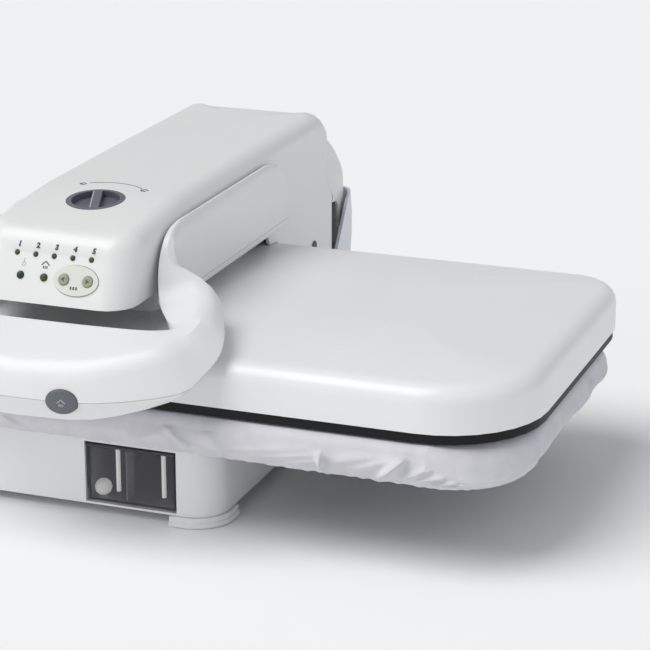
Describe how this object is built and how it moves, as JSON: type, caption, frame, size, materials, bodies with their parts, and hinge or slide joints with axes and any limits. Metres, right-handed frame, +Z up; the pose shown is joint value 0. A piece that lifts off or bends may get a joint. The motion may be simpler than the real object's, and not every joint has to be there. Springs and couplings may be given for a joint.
{
  "type": "steam ironing press",
  "caption": "Table-top steam ironing press with a padded board, a hinged heated plate under a control arm, a lever handle and a pull-out water tank.",
  "frame": {"origin": "on the table top, below the middle of the press's bounding box", "axes": "+X to the right of someone who stands in front of the press, along the plate's length; +Y from the front to the back; +Z up"},
  "size_m": [0.66, 0.5071, 0.2105],
  "materials": {
    "black_plastic": "satin black heat-proof plastic",
    "brass": "plain brass",
    "circuit_board": "green laminate",
    "cover_cloth": "silvery grey woven cloth with elastic hem",
    "float_plastic": "white plastic ball",
    "gloss_white": "smooth moulded white plastic",
    "hose": "translucent silicone hose",
    "key_plastic": "grey-green soft key",
    "keypad_plastic": "off-white satin plastic",
    "lamp_lens": "unlit olive lens",
    "lamp_lens_green": "unlit green lens",
    "pad_foam": "open foam underlay",
    "plate_aluminium": "cast aluminium, smooth sole",
    "rubber": "soft black rubber",
    "slate_plastic": "satin dark blue-grey plastic",
    "smoke_plastic": "dark transparent plastic",
    "steel": "plated steel"
  },
  "bodies": {
    "base": {"base_housing": "gloss_white", "bottom_pan": "gloss_white", "foot_pad_front_left": "rubber", "foot_pad_front_right": "rubber", "foot_pad_rear_left": "rubber", "foot_pad_rear_right": "rubber", "rear_housing": "gloss_white", "hinge_bracket": "steel", "hinge_bush_left": "slate_plastic", "hinge_bush_right": "slate_plastic", "hinge_axle": "steel", "counter_spring_left": "steel", "counter_spring_right": "steel", "board_beam_front": "steel", "board_beam_rear": "steel", "board_tray": "steel", "board_pad": "pad_foam", "board_cover": "cover_cloth", "pump": "slate_plastic", "suction_hose": "hose", "tank_valve": "slate_plastic", "cable_inlet": "rubber"},
    "tank": {"water_tank": "smoke_plastic", "tank_lid": "slate_plastic", "tank_plug": "slate_plastic", "intake_tube": "hose", "return_tube": "hose", "float_ball": "float_plastic"},
    "arm": {"arm_cover": "gloss_white", "arm_rear_cover": "gloss_white", "arm_chassis": "steel", "axle_cap_left": "rubber", "axle_cap_right": "rubber", "platen_shell": "gloss_white", "insulation_frame": "black_plastic", "heating_plate": "plate_aluminium", "steam_chamber": "plate_aluminium", "heater_element": "steel", "thermostat": "brass", "thermal_fuse": "brass", "platen_carrier": "steel", "platen_saddle": "gloss_white", "fabric_lamps": "lamp_lens", "power_lamp": "lamp_lens_green", "steam_lamp": "lamp_lens", "keypad_bezel": "keypad_plastic", "control_board": "circuit_board", "dial_valve": "brass", "handle_bush_left": "slate_plastic", "handle_bush_right": "slate_plastic"},
    "handle": {"handle_upper": "gloss_white", "handle_lower": "gloss_white", "handle_shaft": "steel", "lever_crank": "steel"},
    "steam_button": {"steam_button": "slate_plastic"},
    "dial": {"dial_knob": "slate_plastic"},
    "key_left": {"key_left": "key_plastic"},
    "key_right": {"key_right": "key_plastic"}
  },
  "joints": [
    {"name": "press_opening", "type": "hinge", "parent": "base", "child": "arm", "pos_m": [0, 0.156, 0.104], "axis": [-1, 0, 0], "range_deg": [0, 38]},
    {"name": "handle_lever", "type": "hinge", "parent": "arm", "child": "handle", "pos_m": [0, 0.055, 0.172], "axis": [-1, 0, 0], "range_deg": [0, 22]},
    {"name": "steam_press", "type": "slide", "parent": "handle", "child": "steam_button", "axis": [-0.1045, 0.9945, 0], "range_m": [0, 0.0025], "stiffness_N_per_m": 400},
    {"name": "dial_turn", "type": "hinge", "parent": "arm", "child": "dial", "pos_m": [0, -0.11719, 0.19887], "axis": [0, -0.0899, 0.9959], "range_deg": [-50, 50]},
    {"name": "key_left_press", "type": "slide", "parent": "arm", "child": "key_left", "axis": [0, 0.8944, -0.4472], "range_m": [0, 0.0008], "stiffness_N_per_m": 300},
    {"name": "key_right_press", "type": "slide", "parent": "arm", "child": "key_right", "axis": [0, 0.8944, -0.4472], "range_m": [0, 0.0008], "stiffness_N_per_m": 300},
    {"name": "tank_pull", "type": "slide", "parent": "base", "child": "tank", "axis": [0, -1, 0], "range_m": [0, 0.16]}
  ]
}
